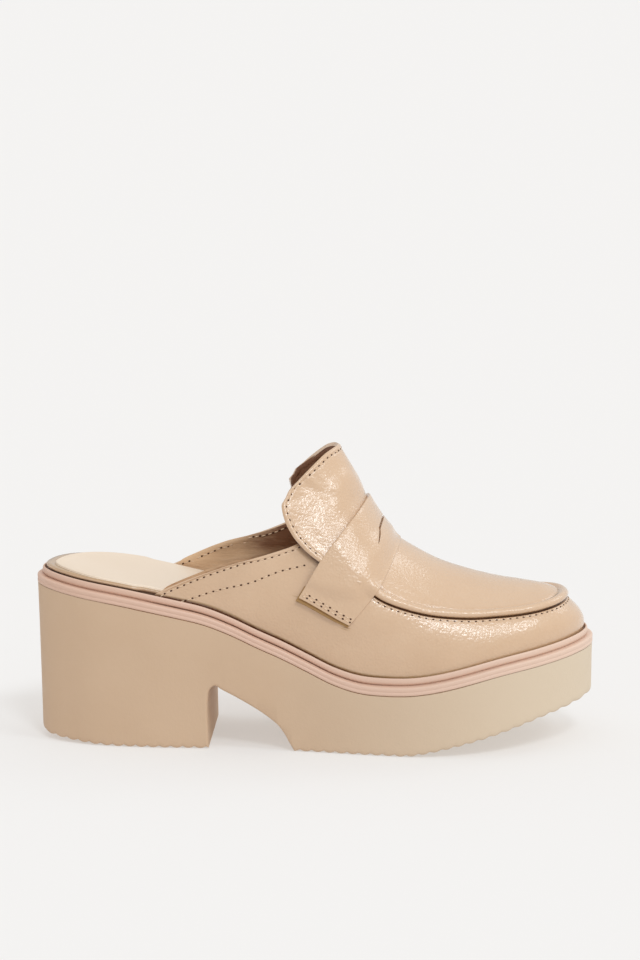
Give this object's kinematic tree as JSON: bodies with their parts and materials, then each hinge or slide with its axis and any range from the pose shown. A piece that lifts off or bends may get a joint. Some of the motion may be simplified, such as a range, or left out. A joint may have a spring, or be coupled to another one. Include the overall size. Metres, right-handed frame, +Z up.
{
  "type": "platform loafer mule",
  "caption": "Backless penny loafer with a slotted saddle strap, stand-up tongue and apron toe, on a moulded platform and block heel.",
  "frame": {"origin": "on the floor under the middle of the shoe's bounding box", "axes": "+X from heel to toe, +Y to the inner side of the foot, +Z up"},
  "size_m": [0.255, 0.0904, 0.1352],
  "materials": {
    "sole": "matte moulded tan foam rubber",
    "welt": "satin pinkish tan moulded rubber",
    "footbed": "smooth pale tan lining leather",
    "upper_leather": "semi-gloss blush tan leather with a fine grain"
  },
  "bodies": {
    "root": {"sole_unit": "sole", "welt": "welt", "insole": "footbed", "upper": "upper_leather", "tongue": "upper_leather", "saddle_strap": "upper_leather"}
  },
  "joints": []
}
